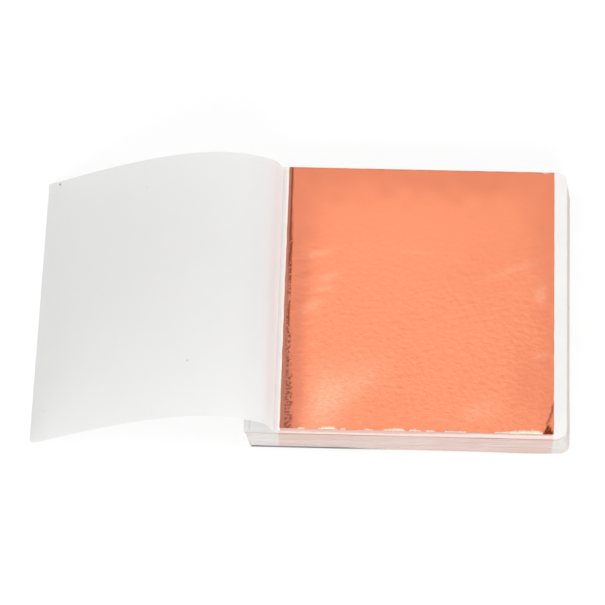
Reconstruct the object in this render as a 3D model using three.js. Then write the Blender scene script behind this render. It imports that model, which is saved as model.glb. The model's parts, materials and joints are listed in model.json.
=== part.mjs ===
// A booklet of metal leaf: square leaves, each lying loose on a sheet of tissue, glued
// along one edge into a block. Its first tissue is turned over to the left, so that the
// first leaf lies open. Millimetres, +Z up, +X from the spine to the fore edge, +Y to the
// back. The origin is the middle of the block's underside, which lies on the table.
import * as THREE from "three";

// The leaves
const leafWidth = 80;
const leafDepth = 85;
const leafThickness = 0.02;
const leafClearance = 0.03; // air under and over a leaf
const leafFromSpine = 10.2; // spine edge of the first tissue to the leaf
const leafFromFront = 1.45; // front edge of the tissue to the leaf

// The tissues
const tissueWidth = 94; // spine edge to fore edge
const tissueDepth = 86.6;
const tissueThickness = 0.06;
const cornerRadius = 3; // of the two fore-edge corners
const cornerSegments = 6;
const spineLean = 1.6; // how far the block leans over to its spine side at the top

// The block: layers that each stand for a few tissues and as many leaves
const pairCount = 100; // leaves in the booklet, one on each tissue
const pairThickness = 0.12; // one tissue, one leaf and the air between them
const pairsPerLayer = 5;
const layerLeafThickness = 0.04;

// The glue along the spine
const glueFilm = 0.3;
const glueDepth = 1.6; // how far it has crept in between the tissues

// The turned tissue
const bindingMargin = 8.6; // spine edge to fold
const foldRise = 0.25; // the fold springs up by this much off the block
const foldAngle = 82; // degrees, the way the tissue leaves the fold, up from +X
const curlLength = 18.3; // the bend dies away over this length of tissue
const turnedDepth = 85.2; // cut a little short of the others
const turnedShift = -1.3; // and glued in nearer the front
const freeEdgeSlant = 0.45; // its free edge is this much longer at the front, shorter behind
const freeCornerRadius = 1.5;
const stripCount = 6; // flat strips, hinged to each other, that stand for the bent sheet
const stripRatio = 1.2; // each strip's length over the one before it
const hingeGap = 0.3; // left between two strips
const tableGap = 0.02; // left under the free edge

const radians = THREE.MathUtils.degToRad;
const topSpineX = -tissueWidth / 2 - spineLean;
const leafX = topSpineX + leafFromSpine;
const leafY = -tissueDepth / 2 + leafFromFront;

const booklet = new THREE.Group();

function finish(color, roughness, metalness) {
  return () => new THREE.MeshStandardMaterial({ color, roughness, metalness });
}

const tissueFinish = finish(0xeeebe6, 0.9, 0);
const leafFinish = finish(0xfe9c75, 0.4, 1);
const glueFinish = finish(0xece4d4, 0.6, 0);

function addPiece(name, geometry, material, parent = booklet) {
  const piece = new THREE.Mesh(geometry, material());
  piece.name = name;
  parent.add(piece);
  return piece;
}

// A flat sheet with its first edge at x = 0 and its middle at y = 0. The two corners at
// its far edge are round, and that edge can be slanted.
function sheet(width, depth, thickness, radius = 0, slant = 0) {
  const half = depth / 2;
  const front = width + slant;
  const back = width - slant;
  const outline = new THREE.Shape();
  outline.moveTo(0, -half);
  if (radius > 0) {
    outline.lineTo(front - radius, -half);
    outline.absarc(front - radius, -half + radius, radius, -Math.PI / 2, 0);
    outline.absarc(back - radius, half - radius, radius, 0, Math.PI / 2);
  } else {
    outline.lineTo(front, -half);
    outline.lineTo(back, half);
  }
  outline.lineTo(0, half);
  outline.closePath();
  return new THREE.ExtrudeGeometry(outline, {
    depth: thickness,
    bevelEnabled: false,
    curveSegments: cornerSegments,
  });
}

// A profile drawn in X and Z, and drawn out along Y about y = 0.
function alongSpine(points, depth) {
  const outline = new THREE.Shape(points.map(([x, z]) => new THREE.Vector2(x, z)));
  const geometry = new THREE.ExtrudeGeometry(outline, { depth, bevelEnabled: false });
  return geometry.translate(0, 0, -depth / 2).rotateX(Math.PI / 2);
}

// The block's layers, from the table up: tissues, then the leaves that lie on them
const layerAir = layerLeafThickness + 2 * leafClearance;
const layers = [];
let stackTop = 0;
for (let left = pairCount - 1; left > 0; left -= pairsPerLayer) {
  const height = Math.min(pairsPerLayer, left) * pairThickness;
  layers.push({ bottom: stackTop, top: stackTop + height - layerAir });
  stackTop += height;
}

// The first tissue of the block and the leaf that lies open on it
const firstTissue = { bottom: stackTop, top: stackTop + tissueThickness };
const marginBottom = firstTissue.top + leafThickness + 2 * leafClearance;

function spineEdge({ bottom, top }) {
  return -tissueWidth / 2 - (spineLean * (bottom + top)) / (2 * marginBottom);
}

layers.forEach((layer, index) => {
  const number = String(index + 1).padStart(2, "0");
  const tissues = sheet(tissueWidth, tissueDepth, layer.top - layer.bottom, cornerRadius);
  addPiece(`tissues_${number}`, tissues, tissueFinish).position.set(
    spineEdge(layer),
    0,
    layer.bottom,
  );
  const leaves = sheet(leafWidth, leafDepth, layerLeafThickness);
  addPiece(`leaves_${number}`, leaves, leafFinish).position.set(
    leafX,
    leafY + leafDepth / 2,
    layer.top + leafClearance,
  );
});

addPiece(
  "first_tissue",
  sheet(tissueWidth, tissueDepth, tissueThickness, cornerRadius),
  tissueFinish,
).position.set(spineEdge(firstTissue), 0, firstTissue.bottom);

addPiece("first_leaf", sheet(leafWidth, leafDepth, leafThickness), leafFinish).position.set(
  leafX,
  leafY + leafDepth / 2,
  firstTissue.top + leafClearance,
);

// The turned tissue's bound margin: flat where it is glued, then rising to the fold
const foldX = topSpineX + bindingMargin;
const marginEnd = foldX - hingeGap / 2;
const marginTop = marginBottom + tissueThickness;
addPiece(
  "turned_tissue_margin",
  alongSpine(
    [
      [topSpineX, marginBottom],
      [topSpineX + glueDepth, marginBottom],
      [marginEnd, marginBottom + foldRise],
      [marginEnd, marginTop + foldRise],
      [topSpineX + glueDepth, marginTop],
      [topSpineX, marginTop],
    ],
    turnedDepth,
  ),
  tissueFinish,
).position.y = turnedShift;

// The glue: a film down the spine, with a thin tongue in each gap between two tissues
const glued = [...layers, firstTissue, { bottom: marginBottom, top: marginTop }];
const glueProfile = [[-tissueWidth / 2 - glueFilm, 0]];
glued.forEach((piece, index) => {
  const edge = index === glued.length - 1 ? topSpineX : spineEdge(piece);
  glueProfile.push([edge, piece.bottom], [edge, piece.top]);
  const next = glued[index + 1];
  if (next) {
    glueProfile.push([edge + glueDepth, piece.top], [edge + glueDepth, next.bottom]);
  }
});
glueProfile.push([topSpineX - glueFilm, marginTop]);
addPiece("spine_glue", alongSpine(glueProfile, tissueDepth), glueFinish);

// The turned tissue from its fold to its free edge. The way it runs turns from foldAngle
// towards a last angle, and the bend dies away along it. The last angle is the one that
// brings the free edge down to the table.
const turnedLength = tissueWidth - bindingMargin;
const foldZ = marginBottom + foldRise + tissueThickness / 2;
const firstStrip = (turnedLength * (stripRatio - 1)) / (stripRatio ** stripCount - 1);
const stripLengths = Array.from(
  { length: stripCount },
  (_, index) => firstStrip * stripRatio ** index,
);

function stripAngles(lastAngle) {
  let start = 0;
  return stripLengths.map((length) => {
    const middle = start + length / 2;
    start += length;
    return lastAngle - (lastAngle - foldAngle) * Math.exp(-middle / curlLength);
  });
}

function freeEdgeHeight(lastAngle) {
  const angles = stripAngles(lastAngle);
  const rise = stripLengths.reduce(
    (sum, length, index) => sum + length * Math.sin(radians(angles[index])),
    0,
  );
  const edgeHalf = (tissueThickness / 2) * Math.abs(Math.cos(radians(angles.at(-1))));
  const slantDrop = freeEdgeSlant * Math.abs(Math.sin(radians(angles.at(-1))));
  return foldZ + rise - edgeHalf - slantDrop;
}

// Halving the range between an angle that leaves the edge too high and one too low
let [tooHigh, tooLow] = [180, 260];
for (let step = 0; step < 50; step += 1) {
  const middle = (tooHigh + tooLow) / 2;
  if (freeEdgeHeight(middle) > tableGap) tooHigh = middle;
  else tooLow = middle;
}

let hinge = new THREE.Group();
hinge.position.set(foldX, turnedShift, foldZ);
booklet.add(hinge);
let heading = 0;
stripAngles(tooHigh).forEach((angle, index) => {
  const isLast = index === stripCount - 1;
  const length = stripLengths[index];
  const plate = sheet(
    length - (isLast ? hingeGap / 2 : hingeGap),
    turnedDepth,
    tissueThickness,
    isLast ? freeCornerRadius : 0,
    isLast ? freeEdgeSlant : 0,
  );
  hinge.rotation.y = -radians(angle - heading);
  heading = angle;
  addPiece(`turned_tissue_strip_${index + 1}`, plate, tissueFinish, hinge).position.set(
    hingeGap / 2,
    0,
    -tissueThickness / 2,
  );
  if (!isLast) {
    const next = new THREE.Group();
    next.position.x = length;
    hinge.add(next);
    hinge = next;
  }
});

export default booklet;
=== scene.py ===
import json
import math
import random

import bpy
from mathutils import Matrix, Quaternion, Vector, noise


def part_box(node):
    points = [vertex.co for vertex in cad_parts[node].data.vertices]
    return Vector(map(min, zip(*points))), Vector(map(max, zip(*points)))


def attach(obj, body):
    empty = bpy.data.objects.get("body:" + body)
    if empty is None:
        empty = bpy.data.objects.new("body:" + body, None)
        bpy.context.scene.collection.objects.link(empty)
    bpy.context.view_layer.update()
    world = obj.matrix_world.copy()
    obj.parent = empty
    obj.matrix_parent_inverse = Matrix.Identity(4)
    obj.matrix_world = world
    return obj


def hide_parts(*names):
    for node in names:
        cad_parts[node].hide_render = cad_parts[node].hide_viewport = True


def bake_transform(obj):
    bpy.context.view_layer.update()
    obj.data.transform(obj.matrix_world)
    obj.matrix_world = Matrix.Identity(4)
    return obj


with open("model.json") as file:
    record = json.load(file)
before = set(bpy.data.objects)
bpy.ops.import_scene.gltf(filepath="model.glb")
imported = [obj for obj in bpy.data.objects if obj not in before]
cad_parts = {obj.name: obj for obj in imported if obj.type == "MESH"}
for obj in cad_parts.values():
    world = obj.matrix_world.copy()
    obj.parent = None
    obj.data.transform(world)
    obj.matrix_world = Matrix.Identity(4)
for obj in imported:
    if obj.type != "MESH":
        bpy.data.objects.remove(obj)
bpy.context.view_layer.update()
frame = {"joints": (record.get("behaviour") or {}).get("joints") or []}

mm = 0.001
random.seed(7)


# Small helpers

def tone(red, green, blue):
    # a colour as a picture editor shows it, 0 to 255, in the renderer's linear values
    def linear(value):
        value /= 255
        return value / 12.92 if value <= 0.04045 else ((value + 0.055) / 1.055) ** 2.4
    return (linear(red), linear(green), linear(blue), 1.0)


def wave(x, y, z=0.0):
    # smooth noise from -1 to 1, the same in every run; another z gives another pattern
    return noise.noise(Vector((x, y, z)))


def smooth(value, low, high):
    # rises gently from 0 at low to 1 at high
    share = min(max((value - low) / (high - low), 0.0), 1.0)
    return share * share * (3 - 2 * share)


def bell(away, width):
    # 1 in the middle, and dies away to both sides
    return math.exp(-(away / width) ** 2)


def lerp(low, high, share):
    return low + (high - low) * share


def newGrid(name, xCuts, yCuts):
    # a unit grid, corner at the origin, ready to be shaped
    bpy.ops.mesh.primitive_grid_add(x_subdivisions=xCuts, y_subdivisions=yCuts, size=1)
    piece = bpy.context.object
    piece.name = piece.data.name = name
    bpy.ops.object.mode_set(mode="EDIT")
    bpy.ops.transform.translate(value=(0.5, 0.5, 0))
    bpy.ops.object.mode_set(mode="OBJECT")
    return piece


sharpAngle = math.radians(40)  # edges that turn by more than this stay sharp


def thicken(piece, thickness):
    # the grid's own surface becomes the middle of the sheet
    solid = piece.modifiers.new("thickness", "SOLIDIFY")
    solid.thickness = thickness
    solid.offset = 0
    bpy.ops.object.select_all(action="DESELECT")
    bpy.context.view_layer.objects.active = piece
    piece.select_set(True)
    bpy.ops.object.modifier_apply(modifier=solid.name)
    bpy.ops.object.mode_set(mode="EDIT")
    bpy.ops.mesh.select_all(action="SELECT")
    bpy.ops.mesh.normals_make_consistent(inside=False)
    bpy.ops.object.mode_set(mode="OBJECT")
    bpy.ops.object.shade_smooth_by_angle(angle=sharpAngle)


def joinPieces(name, pieces):
    bpy.ops.object.select_all(action="DESELECT")
    for piece in pieces:
        piece.select_set(True)
    bpy.context.view_layer.objects.active = pieces[0]
    bpy.ops.object.join()
    joined = bpy.context.object
    joined.name = joined.data.name = name
    return joined


def paint(piece, material):
    piece.data.materials.clear()
    piece.data.materials.append(material)


# Camera, where the photograph was taken from

cameraSettings = {
    "azimuth": 4.28,
    "elevation": 65.92,
    "roll": -2.6,
    "distance": 1004.1 * mm,
    "target": Vector((-33.4, 3.8, 0)) * mm,
    "lens": 198.6,
    "sensor": 36,
    "clip": (0.05, 20),
}


def makeCamera(settings):
    azimuth, elevation = math.radians(settings["azimuth"]), math.radians(settings["elevation"])
    level = math.cos(elevation)
    back = Vector((math.sin(azimuth) * level, -math.cos(azimuth) * level, math.sin(elevation)))
    bpy.ops.object.camera_add(location=settings["target"] + back * settings["distance"])
    camera = bpy.context.object
    camera.name = "camera"
    turn = back.to_track_quat("Z", "Y") @ Quaternion((0, 0, 1), math.radians(settings["roll"]))
    camera.rotation_mode = "QUATERNION"
    camera.rotation_quaternion = turn
    camera.data.lens = settings["lens"]
    camera.data.sensor_width = settings["sensor"]
    camera.data.clip_start, camera.data.clip_end = settings["clip"]
    bpy.context.scene.camera = camera


makeCamera(cameraSettings)
print("camera placed")


# Node helpers

class Nodes:
    # the node tree of a material or the world, with short calls to add and join nodes
    def __init__(self, owner, shader="Principled BSDF"):
        owner.use_nodes = True
        self.owner = owner
        self.tree = owner.node_tree
        self.shader = self.tree.nodes[shader]

    def add(self, kind, inputs=None, **settings):
        node = self.tree.nodes.new(kind)
        for key, value in settings.items():
            setattr(node, key, value)
        for key, value in (inputs or {}).items():
            self.put(value, node.inputs[key])
        return node

    def put(self, value, socket):
        if isinstance(value, bpy.types.NodeSocket):
            self.tree.links.new(value, socket)
        else:
            socket.default_value = value

    def coordinates(self, kind="Object"):
        # the place as one vector, and as its three axes
        where = self.add("ShaderNodeTexCoord").outputs[kind]
        return where, self.add("ShaderNodeSeparateXYZ", {"Vector": where}).outputs

    def math(self, operation, first, second=0.0, third=0.0):
        node = self.add("ShaderNodeMath", operation=operation)
        for socket, value in zip(node.inputs, (first, second, third)):
            self.put(value, socket)
        return node.outputs[0]

    def times(self, first, second):
        return self.math("MULTIPLY", first, second)

    def steps(self, value, low, high, toLow=0.0, toHigh=1.0, kind="SMOOTHSTEP"):
        node = self.add("ShaderNodeMapRange", interpolation_type=kind)
        for socket, number in zip(node.inputs, (value, low, high, toLow, toHigh)):
            self.put(number, socket)
        return node.outputs[0]

    def ramp(self, place, ends, toLow=0.0, toHigh=1.0, unit=mm):
        # steps along one axis, from one end to the other
        return self.steps(place, ends[0] * unit, ends[1] * unit, toLow, toHigh)

    def between(self, place, ends, soft, unit=mm):
        # 1 between the ends, with soft borders
        low, high = ends
        rise = self.ramp(place, (low - soft / 2, low + soft / 2), unit=unit)
        return self.times(rise, self.ramp(place, (high + soft / 2, high - soft / 2), unit=unit))

    def noise(self, vector, scale, detail=3.0, roughness=0.5, stretch=(1, 1, 1), turn=0):
        # turn is the angle about Z, in radians
        placed = self.add("ShaderNodeMapping", {"Vector": vector, "Scale": stretch,
                                                "Rotation": (0, 0, turn)})
        made = self.add("ShaderNodeTexNoise", {"Vector": placed.outputs[0], "Scale": scale,
                                               "Detail": detail, "Roughness": roughness})
        return made.outputs[0]

    def mix(self, share, first, second):
        # the Mix node's colour sockets are its inputs 6 and 7 and its output 2
        node = self.add("ShaderNodeMix", data_type="RGBA")
        self.put(share, node.inputs["Factor"])
        self.put(first, node.inputs[6])
        self.put(second, node.inputs[7])
        return node.outputs[2]

    def bump(self, height, distance, strength, after=None):
        node = self.add("ShaderNodeBump", {"Height": height, "Distance": distance, "Strength": strength})
        if after is not None:
            self.put(after, node.inputs["Normal"])
        return node.outputs[0]

    def set(self, **values):
        for key, value in values.items():
            self.put(value, self.shader.inputs[key.replace("_", " ")])


def newMaterial(name):
    return Nodes(bpy.data.materials.new(name))


# The tissues' materials, with places in mm

tissueLook = {
    "white": tone(238, 237, 235),
    "shade": tone(234, 233, 231),
    "cut": tone(236, 230, 227),
    "foreEdge": tone(232, 227, 223),
    "pink": tone(233, 215, 208),
    "deepPink": tone(230, 205, 197),
    "copperBelow": tone(229, 191, 181),
    "warm": tone(246, 232, 226),
    # painted highlight beside the open leaf's left edge
    "paintedGlint": tone(255, 244, 236),
    # painted highlight along the open sheet's front border
    "paintedEdgeHighlight": tone(245, 220, 213),
    # painted shade for the gaps between the uppermost sheets, and the glue line's own colour on the turned
    # sheet
    "gap": tone(204, 190, 184),
    "speck": tone(110, 84, 68),
    "extraWhite": tone(255, 255, 255),
    "roughness": 0.85,
    "refraction": 1.4,
}


def finishTissue(nodes, colour, normal):
    nodes.set(Base_Color=colour, Normal=normal, Roughness=tissueLook["roughness"],
              IOR=tissueLook["refraction"])


def paperTones(nodes, where, scale):
    # thin white tissue: cloudy formation, short fibres, and a fine tooth
    clouds = nodes.noise(where, 1.2 * scale, detail=4)
    fibres = nodes.noise(where, 22 * scale, detail=2, stretch=(1, 0.12, 1), turn=0.35)
    tooth = nodes.noise(where, 60 * scale, detail=2)
    colour = nodes.mix(nodes.steps(clouds, 0.3, 0.7), tissueLook["shade"], tissueLook["white"])
    colour = nodes.mix(nodes.steps(fibres, 0.62, 0.8, 0, 0.25), colour, tissueLook["white"])
    normal = nodes.bump(clouds, 0.03 * mm, 0.5)
    normal = nodes.bump(fibres, 0.008 * mm, 0.6, normal)
    return colour, nodes.bump(tooth, 0.004 * mm, 0.6, normal)


cutEdges = {
    "leafSides": (-38.7, 41.5),  # the leaves' edges, in X
    "leafSoft": 0.8,
    "deeperSide": (20, 40),  # the pink grows deeper to the right, and down to the table
    "deeperFoot": (9, 4),
    "foreEdge": (41, 43.5),
    # the uppermost sheets lie a little apart from the rest, shown by two lines of painted shade
    "upperGapShade": (10.62, 10.85),
    "upperStrength": 0.6,
    "lowerGapShade": (9.55, 9.75),
    "lowerStrength": 0.5,
    "lowerGrows": (-18, -34),
    "gapSoft": 0.12,
    "gapWander": 0.3,
}


def blockTissueMaterial(settings):
    # on the cut edges the metal shows faintly between the sheets, in long streaks
    nodes = newMaterial("block_tissue")
    where, (x, _, z) = nodes.coordinates()
    colour, normal = paperTones(nodes, where, 100)
    streaks = nodes.noise(where, 900, roughness=0.6, stretch=(0.035, 0.035, 1))
    bands = nodes.noise(where, 500, detail=2, stretch=(0.03, 0.03, 1))
    deeper = nodes.times(nodes.ramp(x, settings["deeperSide"]), nodes.ramp(z, settings["deeperFoot"]))
    pink = nodes.mix(nodes.steps(streaks, 0.4, 0.66), tissueLook["pink"], tissueLook["deepPink"])
    pink = nodes.mix(nodes.times(deeper, 0.2), pink, tissueLook["deepPink"])
    inside = nodes.between(x, settings["leafSides"], settings["leafSoft"])
    colour = nodes.mix(0.7, colour, tissueLook["cut"])
    colour = nodes.mix(nodes.ramp(x, settings["foreEdge"]), colour, tissueLook["foreEdge"])
    colour = nodes.mix(nodes.times(inside, nodes.steps(bands, 0.3, 0.6, 0.7, 1)), colour, pink)
    # painted shade: two dark lines where the uppermost sheets part from the rest
    level = nodes.math("MULTIPLY_ADD", bands, settings["gapWander"] * mm, z)
    upper = nodes.between(level, settings["upperGapShade"], settings["gapSoft"])
    colour = nodes.mix(nodes.times(upper, settings["upperStrength"]), colour, tissueLook["gap"])
    lower = nodes.between(level, settings["lowerGapShade"], settings["gapSoft"])
    lower = nodes.times(lower, nodes.ramp(x, settings["lowerGrows"], 0, settings["lowerStrength"]))
    colour = nodes.mix(lower, colour, tissueLook["gap"])
    finishTissue(nodes, colour, normal)
    return nodes.owner


openEdges = {
    "leafSides": (-38.5, 41.3),  # the edges of the leaf below, in X
    "leafSoft": 0.4,
    # its front edge runs slantwise: from one X to the other, from one Y to the other
    "slantX": (-12, 30),
    "slantY": (-42.85, -42.3),
    "ragged": 0.5,
    "frontSoft": 0.3,
    "border": (-42.2, -42.9),  # the border in front of it carries a painted highlight, strongest at the sheet's edge
    "borderSoft": 0.8,
    # two lines beside the open leaf's left edge: a warm one, and a painted highlight
    "warmLine": (-39.6, -39.15),
    "paintedGlintLine": (-38.95, -38.2),
    "paintedGlintFades": (-43.0, -42.2),
    "lineSoft": 0.3,
}


def openTissueMaterial(settings):
    # the leaf below shows through this sheet, but not in the border that it doesn't reach
    nodes = newMaterial("open_tissue")
    where, (x, y, _) = nodes.coordinates()
    colour, normal = paperTones(nodes, where, 100)
    ragged = nodes.noise(where, 700)
    startY, endY = [value * mm for value in settings["slantY"]]
    reach = nodes.ramp(x, settings["slantX"], startY, endY)
    reach = nodes.math("SUBTRACT", reach, settings["ragged"] / 2 * mm)
    reach = nodes.math("MULTIPLY_ADD", ragged, settings["ragged"] * mm, reach)
    behind = nodes.math("SUBTRACT", y, reach)
    soft = settings["frontSoft"] / 2
    below = nodes.times(nodes.ramp(behind, (-soft, soft)),
                        nodes.between(x, settings["leafSides"], settings["leafSoft"]))
    colour = nodes.mix(below, colour, tissueLook["copperBelow"])
    # painted highlight along the front border, where the sheet's edge catches the light
    border = nodes.times(nodes.ramp(y, settings["border"]),
                         nodes.between(x, settings["leafSides"], settings["borderSoft"]))
    border = nodes.times(border, nodes.math("SUBTRACT", 1, below))
    colour = nodes.mix(border, colour, tissueLook["paintedEdgeHighlight"])
    warm = nodes.between(x, settings["warmLine"], settings["lineSoft"])
    warm = nodes.times(warm, nodes.steps(ragged, 0.35, 0.6, 0.1, 0.6))
    colour = nodes.mix(warm, colour, tissueLook["warm"])
    # a painted highlight: a thin pale glint beside the open leaf's left edge, fading to the front
    paintedGlint = nodes.between(x, settings["paintedGlintLine"], settings["lineSoft"])
    paintedGlint = nodes.times(paintedGlint, nodes.ramp(y, settings["paintedGlintFades"]))
    colour = nodes.mix(paintedGlint, colour, tissueLook["paintedGlint"])
    finishTissue(nodes, colour, normal)
    return nodes.owner


uvUnit = 100  # mm of the turned tissue to one unit of its UV map

turnedMarks = {
    # along the sheet from its spine edge
    "extraWhite": (7.5, 9.0),
    "extraWhiteShares": (0.3, 0.8),
    "glueLine": (1.25, 1.65),
    "glueSoft": 0.2,
    "glueStrength": 0.35,
    "seeThrough": (8, 22),
    "seeThroughShare": 0.5,
    # place along the sheet, place from its front edge, size and strength
    "specks": ((89.1, 84.1, 0.55, 0.5), (56.1, 76.0, 0.25, 0.3), (40.0, 17.7, 0.3, 0.45),
               (89.0, 9.4, 0.3, 0.2)),
}


def turnedTissueMaterial(settings):
    # light also comes through this sheet from behind, but not where it lies glued on the block
    nodes = newMaterial("turned_tissue")
    where, (along, _, _) = nodes.coordinates("UV")
    unit = 1 / uvUnit
    colour, normal = paperTones(nodes, where, 10)
    # more white is mixed in past the crease, where the sheet also lets light through: painted light that
    # makes up for what passes through
    extraWhite = nodes.ramp(along, settings["extraWhite"], *settings["extraWhiteShares"], unit=unit)
    colour = nodes.mix(extraWhite, colour, tissueLook["extraWhite"])
    glued = nodes.between(along, settings["glueLine"], settings["glueSoft"], unit)
    colour = nodes.mix(nodes.times(glued, settings["glueStrength"]), colour, tissueLook["gap"])
    for x, y, size, strength in settings["specks"]:
        middle = (x * unit, y * unit, 0)
        away = nodes.add("ShaderNodeVectorMath", {0: where, 1: middle}, operation="DISTANCE")
        speck = nodes.ramp(away.outputs["Value"], (size, 0.4 * size), 0, strength, unit)
        colour = nodes.mix(speck, colour, tissueLook["speck"])
    finishTissue(nodes, colour, normal)
    through = nodes.add("ShaderNodeBsdfTranslucent", {"Color": colour, "Normal": normal})
    share = nodes.ramp(along, settings["seeThrough"], 0, settings["seeThroughShare"], unit)
    both = nodes.add("ShaderNodeMixShader", {"Fac": share, 1: nodes.shader.outputs[0],
                                             2: through.outputs[0]})
    nodes.put(both.outputs[0], nodes.tree.nodes["Material Output"].inputs["Surface"])
    return nodes.owner


# The leaves' and the glue's materials

leafLook = {
    "copper": tone(250, 151, 113),
    "deep": tone(233, 137, 103),
    # painted shade for a band beside the leaf's left edge
    "leftShade": tone(220, 130, 99),
    "pale": tone(255, 165, 128),
    "sheen": tone(255, 192, 160),
    "strip": tone(188, 118, 98),
    "line": tone(132, 62, 38),
    "crumple": tone(120, 46, 26),
    "glint": tone(255, 247, 224),
    "roughness": (0.285, 0.31),
    "edgeRoughness": (0.4, 0.55),
    "wrinklesGrow": (34, -40),  # from the back to the front
    "lineBreaks": (30, -20),  # into specks
    "lineFades": (10, -30),
}


def leafTones(nodes, where, growth):
    # soft clouds of tone, and fine slanting wrinkles, with painted highlight on their crests and painted
    # shade in their hollows
    clouds = nodes.noise(where, 40)
    ripples = nodes.noise(where, 850, roughness=0.65, stretch=(0.6, 1, 1), turn=-0.35)
    grain = nodes.noise(where, 1300, detail=2, stretch=(0.7, 1, 1), turn=0.3)
    colour = nodes.mix(nodes.steps(clouds, 0.35, 0.65, 0.3, 0), leafLook["copper"], leafLook["deep"])
    # painted highlight on the wrinkles' crests, and painted shade in their hollows
    crestHighlight = nodes.times(growth, nodes.steps(ripples, 0.5, 0.7, 0, 0.5))
    colour = nodes.mix(crestHighlight, colour, leafLook["pale"])
    hollowShade = nodes.times(growth, nodes.steps(ripples, 0.45, 0.28, 0, 0.4))
    colour = nodes.mix(hollowShade, colour, leafLook["deep"])
    normal = nodes.bump(ripples, 0.12 * mm, growth)
    normal = nodes.bump(grain, 0.03 * mm, growth, normal)
    return colour, normal, nodes.steps(clouds, 0.3, 0.7, *leafLook["roughness"])


def leafMaterial():
    # beaten metal, crushed, darker in places, and with painted shade and painted highlights, where the
    # leaf's own marks say so
    nodes = newMaterial("copper_leaf")
    where, (_, y, _) = nodes.coordinates()
    growth = nodes.ramp(y, leafLook["wrinklesGrow"], 0.1, 1)
    colour, normal, rough = leafTones(nodes, where, growth)

    def mark(name):
        return nodes.add("ShaderNodeAttribute", attribute_name=name).outputs["Fac"]

    # painted shade in the border and in the dark patch
    colour = nodes.mix(nodes.times(mark("border"), 0.95), colour, leafLook["deep"])
    # painted shade in a band beside the left edge
    colour = nodes.mix(mark("leftShade"), colour, leafLook["leftShade"])
    streaks = nodes.noise(where, 1900, detail=2, stretch=(0.4, 1, 1), turn=-0.6)
    bright = nodes.times(mark("sheen"), nodes.steps(streaks, 0.3, 0.7, 0.45, 1.15))
    colour = nodes.mix(bright, colour, leafLook["sheen"])
    colour = nodes.mix(mark("edgeStrip"), colour, leafLook["strip"])
    # the line along the strip is whole at the back and breaks into specks at the front
    specks = nodes.noise(where, 1150, detail=2)
    broken = nodes.math("SUBTRACT", specks, nodes.ramp(y, leafLook["lineBreaks"], 0.3, 0.5))
    broken = nodes.times(mark("edgeLine"), nodes.steps(broken, -0.03, 0.05))
    broken = nodes.times(broken, nodes.ramp(y, leafLook["lineFades"], 1, 0.65))
    colour = nodes.mix(broken, colour, leafLook["line"])
    # painted shade along the crease
    colour = nodes.mix(nodes.times(mark("crease"), 0.85), colour, leafLook["line"])
    # painted shade in the crushed corner's folds
    crushed = nodes.times(mark("crushed"), nodes.steps(specks, 0.3, 0.5, 0.75, 1))
    colour = nodes.mix(crushed, colour, leafLook["crumple"])
    # the glint's border is jagged where the front edge curls up
    teeth = nodes.noise(where, 1500, stretch=(1, 0.6, 1))
    glint = nodes.math("MULTIPLY_ADD", teeth, 0.8, nodes.math("SUBTRACT", mark("glint"), 0.4))
    glint = nodes.times(nodes.steps(glint, 0.1, 0.9), nodes.steps(mark("glint"), 0, 0.15))
    colour = nodes.mix(glint, colour, leafLook["glint"])
    nodes.set(Base_Color=colour, Metallic=1.0, Roughness=rough, Normal=normal)
    return nodes.owner


def leafEdgeMaterial():
    # the leaves in the block, of which only the edges show
    nodes = newMaterial("copper_leaf_edges")
    where = nodes.add("ShaderNodeTexCoord").outputs["Object"]
    clouds = nodes.noise(where, 500)
    colour = nodes.mix(nodes.steps(clouds, 0.3, 0.7), leafLook["deep"], leafLook["pale"])
    rough = nodes.steps(clouds, 0.3, 0.7, *leafLook["edgeRoughness"])
    nodes.set(Base_Color=colour, Metallic=1.0, Roughness=rough)
    return nodes.owner


glueLook = {
    "yellowed": tone(238, 233, 222),
    "clear": tone(246, 243, 236),
    "roughness": (0.3, 0.5),
}


def glueMaterial(look):
    # clear padding glue that has dried a little yellow, with small pits
    nodes = newMaterial("spine_glue")
    where = nodes.add("ShaderNodeTexCoord").outputs["Object"]
    clouds = nodes.noise(where, 240, detail=4)
    pits = nodes.noise(where, 1800, detail=2)
    colour = nodes.mix(nodes.steps(clouds, 0.3, 0.7), look["yellowed"], look["clear"])
    normal = nodes.bump(pits, 0.02 * mm, 0.6)
    nodes.set(Base_Color=colour, Roughness=nodes.steps(clouds, 0.3, 0.7, *look["roughness"]), Normal=normal)
    return nodes.owner


sheetMaterial = blockTissueMaterial(cutEdges)
openSheetMaterial = openTissueMaterial(openEdges)
turnedMaterial = turnedTissueMaterial(turnedMarks)
leafSurface = leafMaterial()
leafEdges = leafEdgeMaterial()
glueSurface = glueMaterial(glueLook)
print("materials made")


# The block: single tissues and leaves, five of each to a CAD layer, in mm

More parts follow.
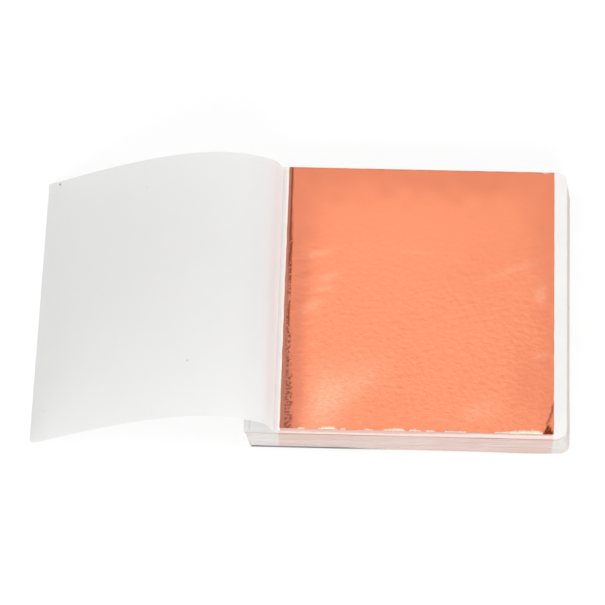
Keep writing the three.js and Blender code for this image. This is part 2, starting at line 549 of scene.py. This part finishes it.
block = {
    "layers": 20,
    "sheets": 99,
    "perLayer": 5,
    "pitch": 0.12,
    "height": 12.0,
    "air": 0.01,  # under the lowest sheet, and under each leaf
    "sheetThickness": 0.086,
    "leafThickness": 0.014,
    "cornerRadius": 3.0,
    "cornerCuts": 6,
    "edgeCuts": 30,
    "sideCuts": 9,
    "middleZone": 4,  # an edge is cut where its middle lies this near the sheet's
    # the edges lie inside the CAD's by inset, and wander about there: bundles of sheets
    # together, and each sheet by itself
    "inset": 0.25,
    "bundle": 7.0,
    "bundleLength": 60,
    "bundleShift": 0.16,
    "edgeStep": 1.7,  # how fast the pattern changes from sheet to sheet
    "edgeLength": 22,
    "edgeShift": 0.16,
    "edgeZone": (36, 43),  # the edges are moved from here outwards, in Y
    "foreZone": (40, 46.5),  # and in X
    # a groove runs round the block at one sheet
    "grooveAt": 88,
    "grooveWidth": 2.2,
    "grooveDepth": 0.6,
    # the lowest sheets stand off the table by footLift at the front left
    "footLift": 1.15,
    "footEnds": (-24, 0),
    "footBumps": ((-9.1, 0.25), (-19.3, 0.15)),  # X and height
    "bumpWidth": 1.5,
    "footZone": (37, 43),
    # how far each leaf lies forward of its CAD place and to one side, and how its edges are torn
    "leafForward": (0.3, 1.05),
    "leafAside": (-0.35, 0.35),
    "leafTear": 0.2,
    "tearLength": 7,
    "tearStep": 3.1,
    "tearZone": (36, 41),
}


def selectWhere(piece, kind, wanted):
    # selects the vertices or edges whose place or middle answers wanted
    bpy.ops.mesh.select_mode(type=kind)
    bpy.ops.mesh.select_all(action="DESELECT")
    bpy.ops.object.mode_set(mode="OBJECT")
    mesh = piece.data
    for vertex in mesh.vertices:
        vertex.select = kind == "VERT" and wanted(vertex.co)
    for edge in mesh.edges:
        ends = [mesh.vertices[index].co for index in edge.vertices]
        edge.select = kind == "EDGE" and wanted((ends[0] + ends[1]) / 2)
    bpy.ops.object.mode_set(mode="EDIT")


def modelSheet(low, high, radius, thickness):
    # one flat sheet, its fore-edge corners rounded and its edges cut fine enough to wander
    bpy.ops.mesh.primitive_plane_add(size=1)
    piece = bpy.context.object
    middleX, middleY = (low.x + high.x) / 2, (low.y + high.y) / 2
    bpy.ops.object.mode_set(mode="EDIT")
    bpy.ops.transform.resize(value=(high.x - low.x, high.y - low.y, 1))
    bpy.ops.transform.translate(value=(middleX, middleY, 0))
    if radius:
        selectWhere(piece, "VERT", lambda at: at.x > high.x - mm)
        bpy.ops.mesh.bevel(offset=radius, affect="VERTICES", segments=block["cornerCuts"], profile=0.5)
    # first the edges that run along X are cut, and then those that run along Y
    near = block["middleZone"] * mm
    selectWhere(piece, "EDGE", lambda at: abs(at.x - middleX) < near)
    bpy.ops.mesh.subdivide(number_cuts=block["edgeCuts"])
    selectWhere(piece, "EDGE", lambda at: abs(at.y - middleY) < near)
    bpy.ops.mesh.subdivide(number_cuts=block["sideCuts"])
    bpy.ops.mesh.select_all(action="SELECT")
    bpy.ops.mesh.extrude_region_move(TRANSFORM_OT_translate={"value": (0, 0, thickness)})
    bpy.ops.mesh.select_all(action="SELECT")
    bpy.ops.mesh.normals_make_consistent(inside=False)
    bpy.ops.object.mode_set(mode="OBJECT")
    return piece


def copySheet(sample, move):
    # a copy with its own mesh, each vertex moved
    mesh = sample.data.copy()
    for vertex in mesh.vertices:
        vertex.co = move(vertex.co)
    made = bpy.data.objects.new("sheet", mesh)
    bpy.context.collection.objects.link(made)
    return made


def edgeInset(index, along, side):
    # how far the edge of sheet number index lies in from the CAD's
    bundles = block["bundleShift"] * wave(index / block["bundle"], along / block["bundleLength"], side)
    single = block["edgeShift"] * wave(index * block["edgeStep"], along / block["edgeLength"], side + 20)
    groove = block["grooveDepth"] * bell(index - block["grooveAt"], block["grooveWidth"])
    return block["inset"] - (bundles + single - groove)


def lifted(x, y, z):
    # the stack is pressed together a little above its lifted foot
    foot = block["footLift"] * (1 - smooth(x, *block["footEnds"]))
    foot += sum(height * bell(x - at, block["bumpWidth"]) for at, height in block["footBumps"])
    return z + foot * smooth(-y, *block["footZone"]) * (1 - z / block["height"])


def makeLayers(kind, sample, makeMove, material):
    # each layer of the block is one piece, made of single copies of the sample
    number = 0
    for layer in range(1, block["layers"] + 1):
        node = f"{kind}_{layer:02d}"
        made = []
        for _ in range(min(block["perLayer"], block["sheets"] - number)):
            made.append(copySheet(sample, makeMove(number, node)))
            number += 1
        piece = joinPieces(f"block_{node}", made)
        paint(piece, material)
        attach(piece, "block")
        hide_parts(node)
    bpy.data.objects.remove(sample)


def makeTissueLayers():
    low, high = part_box("tissues_01")
    sample = modelSheet(low, high, block["cornerRadius"] * mm, block["sheetThickness"] * mm)
    foreSide = 3  # the fore edge's own pattern, beside those of the front and the back

    def makeMove(index, node):
        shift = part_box(node)[0].x - low.x

        def move(at):
            x, y = at.x / mm, at.y / mm
            inset = edgeInset(index, x, math.copysign(1, y))
            y -= math.copysign(inset, y) * smooth(abs(y), *block["edgeZone"])
            x -= edgeInset(index, y, foreSide) * smooth(x, *block["foreZone"])
            z = lifted(x, y, at.z / mm + block["air"] + index * block["pitch"])
            return Vector((x * mm + shift, y * mm, z * mm))
        return move

    makeLayers("tissues", sample, makeMove, sheetMaterial)


def makeLeafLayers():
    low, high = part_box("leaves_01")
    sample = modelSheet(low, high, 0, block["leafThickness"] * mm)
    tearSide = 5  # the torn edges' pattern

    def makeMove(index, _):
        forward = random.uniform(*block["leafForward"])
        aside = random.uniform(*block["leafAside"])
        level = index * block["pitch"] + block["sheetThickness"] + 2 * block["air"]

        def move(at):
            x, y = at.x / mm, at.y / mm
            torn = wave(x / block["tearLength"], index * block["tearStep"], math.copysign(tearSide, y))
            y += block["leafTear"] * torn * smooth(abs(y), *block["tearZone"])
            x, y = x + aside, y - forward
            return Vector((x, y, lifted(x, y, at.z / mm + level))) * mm
        return move

    makeLayers("leaves", sample, makeMove, leafEdges)


makeTissueLayers()
print("block tissues made")
makeLeafLayers()
print("block leaves made")


# The tissue under the open leaf, in mm

openTissue = {
    "xCuts": 96,
    "yCuts": 88,
    "cornerRadius": 3.0,
    "cornerEase": 12,  # the higher, the fewer columns beside the fore edge draw in at a corner
    "wave": 0.03,
    "waveLength": 14,
    "flatMargin": 8,  # the waves grow from the spine edge over this width
}


def cornerInset(fromEnd, radius):
    # how far an edge draws in at a rounded corner, so near to the corner's end
    inset = radius - fromEnd
    return radius - math.sqrt(max(radius ** 2 - inset ** 2, 0)) if inset > 0 else 0


def makeOpenTissue(settings):
    low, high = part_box("first_tissue")
    piece = newGrid("open_tissue", settings["xCuts"], settings["yCuts"])
    radius = settings["cornerRadius"] * mm
    length = settings["waveLength"] * mm
    middle = (low.z + high.z) / 2
    for vertex in piece.data.vertices:
        share = vertex.co.x
        x = lerp(low.x, high.x, share)
        y = lerp(low.y, high.y, vertex.co.y)
        lift = settings["wave"] * mm * wave(x / length, y / length)
        lift *= smooth(x, low.x, low.x + settings["flatMargin"] * mm)
        x -= cornerInset(min(high.y - y, y - low.y), radius) * share ** settings["cornerEase"]
        vertex.co = (x, y, middle + lift)
    thicken(piece, high.z - low.z)
    paint(piece, openSheetMaterial)
    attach(piece, "block")
    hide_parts("first_tissue")


makeOpenTissue(openTissue)
print("open tissue made")


# The open leaf, in mm

openLeaf = {
    "xCuts": 160,
    "yCuts": 170,
    "thickness": 0.012,
    # the torn edges wander
    "tear": 0.1,
    "tearLength": 4,
    "tearZone": (0.46, 0.5),  # shares of the width or depth, from the middle
    # height, share of it at the back, lengths along and across, and pattern of each set of ripples
    "ripples": ((0.028, 0.15, 2.4, 1.2, 1), (0.0196, 0.1, 1.3, 0.9, 5)),
    "rippleSlant": 0.25,
    "rippleBend": (0.8, 12),  # height and length
    "rippleGrows": (-35, 25),
    # long low dunes at the left
    "dune": 0.04,
    "duneReach": 18,
    "duneEnds": (8, 26),
    "duneSize": (9, 3),
    "duneSlant": 0.3,
    # the leaf lies lower in a border, where its colour is painted darker as painted shade: its start beside
    # the left edge, how steeply it ends at the right and at the back, how far it wanders, and how it grows
    # weaker at the right
    "border": 7.0,
    "borderDrop": 0.05,
    "borderStart": 2.5,
    "borderSteep": (0.75, 0.5),
    "borderWander": 2.2,
    "borderWeaker": 0.3,
    "borderWeakens": (20, 38),
    "shadePatch": ((34.5, -24), (5, 14), 0.6),  # a patch of painted shade: its middle, half widths and strength
    # a band of painted shade beside the left edge: where it ends at the front and the back, and how it
    # fades
    "leftShadeFront": (4, 9),
    "leftShadeBack": (6, 20),
    "leftShadeGrows": (0, 38),
    "leftShadeWander": 1.2,
    "leftShadeWeaker": 0.55,
    "leftShadeWeakens": (-10, 25),
    "spotLength": 6,  # of the pattern by which the border and the band wander
    # the darker strip along the left edge, its widths at the back, the middle and the front
    "stripWidths": (1.15, 1.5, 3.1),
    "stripGrows": ((-40, 0), (4, 36)),
    "stripWander": (0.2, 5),
    "stripSoft": (0.35, 0.15),
    # the back edge is darker too, in patches: how far in, their length and strength
    "backPatchReach": (0.1, 0.4),
    "backPatchLength": 3,
    "backPatchShare": 0.7,
    # the line beside the strip: half its width at the back, and what it gains to the front
    "line": (0.18, 0.75),
    "lineGrows": (0, 36),
    "lineInside": 0.7,
    "lineSoft": 0.3,
    "lineHeight": (0.05, 0.6),  # height and length of its crumples
    # the crushed front corner, painted dark as painted shade in its folds: its tip, and half its width at
    # the front edge
    "crumple": (40.1, -38.7, 1.45),
    "crumpleShift": 0.1,
    "crumpleSoft": 0.25,
    "crumpleStarts": 0.12,  # share of its length from the tip
    "crumpleHeight": (0.1, 0.7),
    # the crease from there to the right edge, with painted shade along it: its end, bow, soft width, height
    # and fading ends
    "crease": (41.5, -31.5),
    "creaseStart": 0.5,
    "creaseBow": 0.35,
    "creaseSoft": (0.12, 0.4),
    "creaseHeight": 0.12,
    "creaseFades": ((-0.1, 0.05), (0.85, 1)),  # shares of its length
    # middle, half width and depth of each bright patch on the front edge, and its lean to the right
    "glints": ((-32.1, 1.0, 0.4, 0), (-24.4, 2.8, 0.7, 0.3), (-19.8, 0.9, 0.4, 0), (-12.6, 1.3, 0.4, 0),
               (-5.0, 3.4, 0.65, 0.3), (1.1, 1.8, 0.5, 0), (5.5, 1.2, 0.4, 0), (12.8, 3.0, 0.3, 0),
               (31.4, 7.7, 0.85, 0.85)),
    "glintLeast": 0.05,
    "glintFades": 1.6,
    "glintHeight": 0.06,
    # middle, half length, half width, angle and strength of each place where light gathers
    "sheens": (((-25.6, -33.0), 10.0, 5.2, 80, 0.6), ((-16.5, -27.5), 9.5, 4.6, 40, 0.36),
               ((37.6, 2.9), 3.0, 1.5, 80, 0.5), ((28.6, 10.4), 9.0, 1.2, 22, 0.25),
               ((-0.7, 15.9), 6.0, 0.8, -5, 0.15), ((-28.0, 14.6), 4.0, 1.2, 15, 0.35),
               ((-25.4, 6.8), 3.2, 1.3, 25, 0.35), ((-26.7, 2.9), 3.2, 0.9, 10, 0.3),
               ((-30.4, -2.9), 4.0, 1.4, 30, 0.3), ((19.7, -35.4), 6.0, 3.4, 25, 0.3),
               ((37.9, -16.9), 2.2, 0.8, 10, 0.4)),
    # a small piece is torn out of the back edge: its middle, half width, reach and depth
    "notch": (38.9, 0.8, 1.2, 0.5),
}


def leafRelief(x, y, fromLeft, settings):
    # long low dunes at the left, and ripples that grow to the front
    bend, bendLength = settings["rippleBend"]
    slant = settings["rippleSlant"]
    along = x + slant * y
    across = y - slant * x + bend * wave(x / bendLength, y / bendLength, 4)
    ahead = smooth(-y, *settings["rippleGrows"])
    height = 0.0
    for tall, least, length, breadth, pattern in settings["ripples"]:
        height += tall * lerp(least, 1, ahead) * (1 + wave(along / length, across / breadth, pattern))
    length, breadth = settings["duneSize"]
    dune = settings["dune"] * bell(y, settings["duneReach"]) * (1 - smooth(fromLeft, *settings["duneEnds"]))
    return height + dune * (1 + wave(x / length, (y - settings["duneSlant"] * x) / breadth, 8))


def leafBorder(x, y, fromLeft, right, back, settings):
    # the border, where the leaf also lies lower, and a patch: both carry painted shade
    rightSteep, backSteep = settings["borderSteep"]
    (patchX, patchY), (patchWidth, patchDepth), patchStrength = settings["shadePatch"]
    wander = wave(x / settings["spotLength"], y / settings["spotLength"], 12)
    inside = min(fromLeft - settings["borderStart"], (right - x) * rightSteep, (back - y) * backSteep)
    border = 1 - smooth(inside + settings["borderWander"] * wander, 0, settings["border"])
    border *= 1 - settings["borderWeaker"] * smooth(x, *settings["borderWeakens"])
    return max(border, patchStrength * bell(x - patchX, patchWidth) * bell(y - patchY, patchDepth))


def leafLeftShade(x, y, fromLeft, settings):
    # a band of painted shade beside the left edge
    wander = wave(x / settings["spotLength"], y / settings["spotLength"], 12)
    toBack = smooth(y, *settings["leftShadeGrows"])
    ends = [lerp(front, back, toBack) for front, back in zip(settings["leftShadeFront"], settings["leftShadeBack"])]
    leftShade = 1 - smooth(fromLeft + settings["leftShadeWander"] * wander, *ends)
    return leftShade * (1 - settings["leftShadeWeaker"] * smooth(y, *settings["leftShadeWeakens"]))


def leafSheen(x, y, settings):
    # light gathers on the front left and on a few ridges
    sheen = 0.0
    for (middleX, middleY), length, breadth, angle, strength in settings["sheens"]:
        cosine, sine = math.cos(math.radians(angle)), math.sin(math.radians(angle))
        along = (x - middleX) * cosine + (y - middleY) * sine
        across = (y - middleY) * cosine - (x - middleX) * sine
        sheen += strength * bell(along, length) * bell(across, breadth)
    return min(sheen, 1.0)


def leafStrip(x, y, fromLeft, back, settings):
    # the darker strip along the left edge, and the line beside it
    backWidth, middleWidth, frontWidth = settings["stripWidths"]
    toMiddle, toFront = [smooth(-y, *ends) for ends in settings["stripGrows"]]
    wander, wanderLength = settings["stripWander"]
    width = backWidth + (middleWidth - backWidth) * toMiddle + (frontWidth - middleWidth) * toFront
    width += wander * wave(y / wanderLength, 11)
    softInside, softOutside = settings["stripSoft"]
    strip = 1 - smooth(fromLeft, width - softInside, width + softOutside)
    backPatches = 1 - smooth(back - y, *settings["backPatchReach"])
    backPatches *= smooth(wave(x / settings["backPatchLength"], 15), -0.3, 0.3)
    strip = max(strip, settings["backPatchShare"] * backPatches)
    half = settings["line"][0] + settings["line"][1] * smooth(-y, *settings["lineGrows"])
    away = abs(fromLeft - width + settings["lineInside"] * half)
    return strip, 1 - smooth(away, half, half + settings["lineSoft"])


def leafCorner(x, y, front, settings):
    # the crushed front corner, with a crease running back from it to the right edge; both marks carry
    # painted shade
    tipX, tipY, tipHalf = settings["crumple"]
    creaseX, creaseY = settings["crease"]
    fall = max(tipY - y, 0) / (tipY - front)
    half = tipHalf * fall
    away = abs(x - tipX + settings["crumpleShift"])
    crushed = 1 - smooth(away, half, half + settings["crumpleSoft"])
    crushed *= smooth(fall, 0, settings["crumpleStarts"])
    rise = (y - tipY) / (creaseY - tipY)
    middle = lerp(tipX - settings["creaseStart"], creaseX, rise)
    middle += settings["creaseBow"] * math.sin(math.pi * rise)
    starts, ends = settings["creaseFades"]
    crease = 1 - smooth(abs(x - middle), *settings["creaseSoft"])
    return crushed, crease * smooth(rise, *starts) * (1 - smooth(rise, *ends))


def leafGlint(x, fromFront, settings):
    # bright where the front edge curls up
    glint = 0.0
    for middle, half, depth, lean in settings["glints"]:
        away = min(max((x - middle) / half, -1), 1)
        reach = depth * (1 - away ** 4) * (1 + lean * away)
        if reach > settings["glintLeast"]:
            glint = max(glint, 1 - fromFront / (settings["glintFades"] * reach))
    return glint


def crumples(x, y, size, pattern):
    height, length = size
    return height * (1 + wave(x / length, y / length, pattern))


def makeOpenLeaf(settings):
    low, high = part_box("first_leaf")
    piece = newGrid("open_leaf", settings["xCuts"], settings["yCuts"])
    left, right, front, back = low.x / mm, high.x / mm, low.y / mm, high.y / mm
    middle = low.z / mm + settings["thickness"] / 2
    notchX, notchHalf, notchReach, notchDepth = settings["notch"]
    marks = {}
    for vertex in piece.data.vertices:
        u, v = vertex.co.x, vertex.co.y
        x, y = lerp(left, right, u), lerp(front, back, v)
        tears = [settings["tear"] * smooth(abs(share - 0.5), *settings["tearZone"]) for share in (u, v)]
        x += tears[0] * wave(y / settings["tearLength"], 3)
        y += tears[1] * wave(x / settings["tearLength"], 7)
        fromLeft, fromFront = x - left, max(y - front, 0)

        border = leafBorder(x, y, fromLeft, right, back, settings)
        strip, line = leafStrip(x, y, fromLeft, back, settings)
        crushed, crease = leafCorner(x, y, front, settings)
        glint = leafGlint(x, fromFront, settings) * (1 - crushed)
        height = leafRelief(x, y, fromLeft, settings)
        height += settings["borderDrop"] * (1 - border)
        height += line * crumples(x, y, settings["lineHeight"], 2)
        height += settings["creaseHeight"] * crease
        height += crushed * crumples(x, y, settings["crumpleHeight"], 9)
        height += settings["glintHeight"] * glint

        shares = {"border": border, "leftShade": leafLeftShade(x, y, fromLeft, settings),
                  "sheen": leafSheen(x, y, settings), "edgeStrip": strip, "edgeLine": line,
                  "crease": crease, "crushed": crushed, "glint": glint}
        for name, share in shares.items():
            marks.setdefault(name, []).append(share)
        y -= notchDepth * bell(x - notchX, notchHalf) * smooth(y, back - notchReach, back)
        vertex.co = Vector((x, y, middle + height)) * mm
    for name, values in marks.items():
        layer = piece.data.attributes.new(name, "FLOAT", "POINT")
        layer.data.foreach_set("value", values)
    thicken(piece, settings["thickness"] * mm)
    paint(piece, leafSurface)
    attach(piece, "first_leaf")
    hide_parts("first_leaf")


makeOpenLeaf(openLeaf)
print("open leaf made")


# The turned tissue: one sheet that bends over the CAD hinges, in mm

turned = {
    "front": -43.9,
    "back": 41.3,
    "thickness": 0.06,
    "acrossCuts": 34,
    "alongCuts": 20,  # in each bend
    "marginCuts": (3, 8, 6),  # where it is glued, from there to the crease, and behind the crease
    "gluedWidth": 1.6,
    "creaseReach": 0.7,
    # the sheet is turned a little askew, so its fold lies this much nearer the back
    "foldShift": 1.1,
    "foldAt": 8.6,
    "foldReach": 15.0,
    # the free edge has rounded corners, and is cut a little aslant
    "cornerRadius": 1.6,
    "shortFront": 0.1,
    "shortBack": 0.75,
    "shortReach": 20,
}


def hingePoints():
    # the CAD hinges in the X and Z plane, and the free end of the last strip
    places = [Vector((joint["pos_m"][0], joint["pos_m"][2]))
              for joint in frame["joints"] if joint["name"].startswith("tissue_")]
    low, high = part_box(f"turned_tissue_strip_{len(places)}")
    middle = Vector(((low.x + high.x) / 2, (low.z + high.z) / 2))
    heading = (middle - places[-1]).normalized()
    reach = 2 * (middle - places[-1]).length
    return places, places[-1] + heading * reach


def bend(start, corner, end, cuts):
    # a smooth curve that leaves for the corner and arrives from it, with more points at its ends
    points = []
    for index in range(cuts + 1):
        share = (1 - math.cos(math.pi * index / cuts)) / 2
        points.append(start * (1 - share) ** 2 + corner * (2 * share * (1 - share)) + end * share ** 2)
    return points


def makeProfile(settings):
    # stretches of the sheet's middle line, each a list of points, from the spine to the free edge
    hinges, freeEnd = hingePoints()
    corners = hinges + [freeEnd]
    middles = [(start + end) / 2 for start, end in zip(corners, corners[1:])]
    cuts = settings["alongCuts"]
    low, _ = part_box("turned_tissue_margin")
    level = low.z + settings["thickness"] * mm / 2
    spine = Vector((low.x, level))
    flat = Vector((low.x + settings["gluedWidth"] * mm, level))
    reach = settings["creaseReach"] * mm
    before = hinges[0] + (flat - hinges[0]).normalized() * reach
    after = hinges[0] + (corners[1] - hinges[0]).normalized() * reach
    gluedCuts, flatCuts, behindCuts = settings["marginCuts"]
    margin = [spine.lerp(flat, index / gluedCuts) for index in range(gluedCuts)]
    margin += [flat.lerp(before, index / flatCuts) for index in range(flatCuts)]
    margin += bend(before, hinges[0], after, cuts)
    margin += [after.lerp(middles[0], (index + 1) / behindCuts) for index in range(behindCuts)]
    stretches = [margin]
    for start, corner, end in zip(middles, hinges[1:], middles[1:]):
        stretches.append(bend(start, corner, end, cuts))
    # the last stretch runs on to the free edge, with more points near its rounded corners
    lastCuts = 2 * cuts
    for index in range(1, lastCuts + 1):
        share = math.sin(math.pi / 2 * index / lastCuts)
        stretches[-1].append(middles[-1].lerp(freeEnd, share))
    return stretches, middles, (before, after)


def makeTurnedTissue(settings):
    stretches, middles, crease = makeProfile(settings)
    total = sum((b - a).length for points in stretches for a, b in zip(points, points[1:]))
    run = 0.0
    for number, points in enumerate(stretches):
        name = "turned_tissue_fold" if number == 0 else f"turned_tissue_curl_{number}"
        distances = [run]
        for a, b in zip(points, points[1:]):
            distances.append(distances[-1] + (b - a).length)
        run = distances[-1]
        piece = newGrid(name, len(points) - 1, settings["acrossCuts"])
        makeStretch(piece, points, distances, total, settings)
        thicken(piece, settings["thickness"] * mm)
        paint(piece, turnedMaterial)
        if number == 0:
            start, end = crease
            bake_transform(piece)
            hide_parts("turned_tissue_margin", "turned_tissue_strip_1")
        else:
            start, end = middles[number - 1], middles[number]
            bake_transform(piece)
            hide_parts(f"turned_tissue_strip_{number + 1}")


def makeStretch(piece, points, distances, total, settings):
    # lays the grid along the points, with the flat sheet's own places as its UV map
    mesh = piece.data
    last = len(points) - 1
    uvLayer = mesh.uv_layers.active or mesh.uv_layers.new(name="UVMap")
    back = settings["back"] * mm
    foldEnds = (settings["foldAt"] * mm, (settings["foldAt"] + settings["foldReach"]) * mm)
    flat = {}
    for vertex in mesh.vertices:
        column, share = round(vertex.co.x * last), vertex.co.y
        point, distance = points[column], distances[column]
        front = settings["front"] * mm + cornerInset(total - distance, settings["cornerRadius"] * mm)
        askew = 1 - smooth(distance, *foldEnds)
        y = lerp(front, back, share) + settings["foldShift"] * mm * askew
        short = lerp(settings["shortFront"], settings["shortBack"], share) * mm
        short *= smooth(distance, total - settings["shortReach"] * mm, total)
        heading = (points[min(column + 1, last)] - points[max(column - 1, 0)]).normalized()
        point = point - heading * short
        flat[vertex.index] = (distance / mm / uvUnit, (y / mm - settings["front"]) / uvUnit)
        vertex.co = (point.x, y, point.y)
    for loop in mesh.loops:
        uvLayer.data[loop.index].uv = flat[loop.vertex_index]


makeTurnedTissue(turned)
print("turned tissue made")


# The glue along the spine, in mm

glue = {
    "alongCuts": 120,
    "upCuts": 16,
    "film": 0.3,
    # the film takes in the sheets' edges, so that no slit is left beside them: how far its
    # middle lies outside them, and how thick it is, as shares of the film
    "outside": 0.3,
    "thicker": 1.2,
    "air": 0.01,  # between it and the table
    "wander": 0.05,
    "wanderSize": (5, 2),
}


def makeGlue(settings):
    low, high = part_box("spine_glue")
    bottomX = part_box("tissues_01")[0].x
    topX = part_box("turned_tissue_margin")[0].x
    piece = newGrid("glue_film", settings["alongCuts"], settings["upCuts"])
    film = settings["film"] * mm
    length, tall = [size * mm for size in settings["wanderSize"]]
    for vertex in piece.data.vertices:
        y = lerp(low.y, high.y, vertex.co.x)
        z = lerp(low.z + settings["air"] * mm, high.z, vertex.co.y)
        edge = lerp(bottomX, topX, (z - low.z) / (high.z - low.z))
        bulge = settings["wander"] * mm * wave(y / length, z / tall)
        vertex.co = (edge - settings["outside"] * film + bulge, y, z)
    thicken(piece, settings["thicker"] * film)
    paint(piece, glueSurface)
    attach(piece, "block")
    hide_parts("spine_glue")


makeGlue(glue)
print("glue made")


# Floor, light and background

studio = {
    "floorSize": 8.0,  # in metres
    "floorLevel": -0.03 * mm,
    "floorTone": (0.85, 0.85, 0.85, 1),
    "floorSeen": (0.32, 0.32, 0.32, 1),  # for the camera, beside its own white below
    "floorWhite": 0.69,
    "floorRoughness": 0.9,
    # the white gives way where the object all but touches the floor
    "contact": 6 * mm,
    "contactShades": (0.265, 0.305),
    "contactSamples": 8,
    # and under the block's lifted front edge, so that its foot keeps a thin dark line, in mm
    "footDepth": (-43.12, -36),
    "footSoft": 0.15,
    "footGrows": (0, -24),
    "footCorner": (-47.0, -46.6),
    "horizon": 0.67,
    "overhead": 0.5,
    "glossyLow": 0.8,  # what the metal sees low in the room, against 1 overhead
    "glossyHeights": (0.88, 0.98),  # the height of a direction, from 0 level to 1 straight up
}
white = (1, 1, 1, 1)


def footShade(nodes, settings):
    _, (x, y, _) = nodes.coordinates()
    ends = nodes.times(nodes.ramp(x, settings["footGrows"]), nodes.ramp(x, settings["footCorner"]))
    return nodes.times(nodes.between(y, settings["footDepth"], settings["footSoft"]), ends)


def makeFloor(settings):
    bpy.ops.mesh.primitive_plane_add(size=settings["floorSize"], location=(0, 0, settings["floorLevel"]))
    floor = bpy.context.object
    floor.name = "floor"
    nodes = newMaterial("floor")
    rays = nodes.add("ShaderNodeLightPath").outputs
    seen = nodes.math("MAXIMUM", rays["Is Camera Ray"], rays["Is Glossy Ray"])
    colour = nodes.mix(seen, settings["floorTone"], settings["floorSeen"])
    openness = nodes.add("ShaderNodeAmbientOcclusion", {"Distance": settings["contact"]},
                         samples=settings["contactSamples"])
    glow = nodes.steps(openness.outputs["AO"], *settings["contactShades"], 0, settings["floorWhite"])
    glow = nodes.times(glow, nodes.math("SUBTRACT", 1, footShade(nodes, settings)))
    nodes.set(Base_Color=colour, Roughness=settings["floorRoughness"], Emission_Color=white,
              Emission_Strength=nodes.times(seen, glow))
    floor.data.materials.append(nodes.owner)


def makeWorld(settings):
    # a soft white room, brighter low down, that the camera and the metal see as plain white
    world = bpy.data.worlds.new("studio")
    bpy.context.scene.world = world
    nodes = Nodes(world, "Background")
    _, (_, _, height) = nodes.coordinates("Generated")
    room = nodes.steps(height, 0, 1, settings["horizon"], settings["overhead"], "LINEAR")
    rays = nodes.add("ShaderNodeLightPath").outputs
    # light that has already come off a dull surface doesn't count as seen in the metal
    direct = nodes.math("LESS_THAN", rays["Diffuse Depth"], 0.5)
    mirrored = nodes.times(rays["Is Glossy Ray"], direct)
    seen = nodes.math("MAXIMUM", rays["Is Camera Ray"], mirrored)
    metal = nodes.steps(height, *settings["glossyHeights"], settings["glossyLow"], 1)
    plain = nodes.math("MAXIMUM", rays["Is Camera Ray"], metal)
    nodes.set(Color=white, Strength=nodes.steps(seen, 0, 1, room, plain, "LINEAR"))


lamps = (
    {"name": "front", "at": (0, -1900, 1100), "size": 1200, "energy": 21.0},
    {"name": "side", "at": (1760, 0, 1320), "size": 1200, "energy": 12.5},
    {"name": "left", "at": (-1320, 0, 1760), "size": 1200, "energy": 10.5},
    {"name": "sheen", "at": (-80, 720, 1860), "size": 240, "energy": 0.4},
)


def makeLamp(settings):
    # places and sizes are in mm, and each lamp points at the origin
    bpy.ops.object.light_add(type="AREA", location=[value * mm for value in settings["at"]])
    lamp = bpy.context.object
    lamp.name = settings["name"]
    lamp.data.shape = "DISK"
    lamp.data.size = settings["size"] * mm
    lamp.data.energy = settings["energy"]
    lamp.rotation_euler = lamp.location.to_track_quat("Z", "Y").to_euler()


makeFloor(studio)
makeWorld(studio)
for lampSettings in lamps:
    makeLamp(lampSettings)
bpy.context.scene.view_settings.view_transform = "Standard"
print("studio made")

bpy.context.view_layer.update()
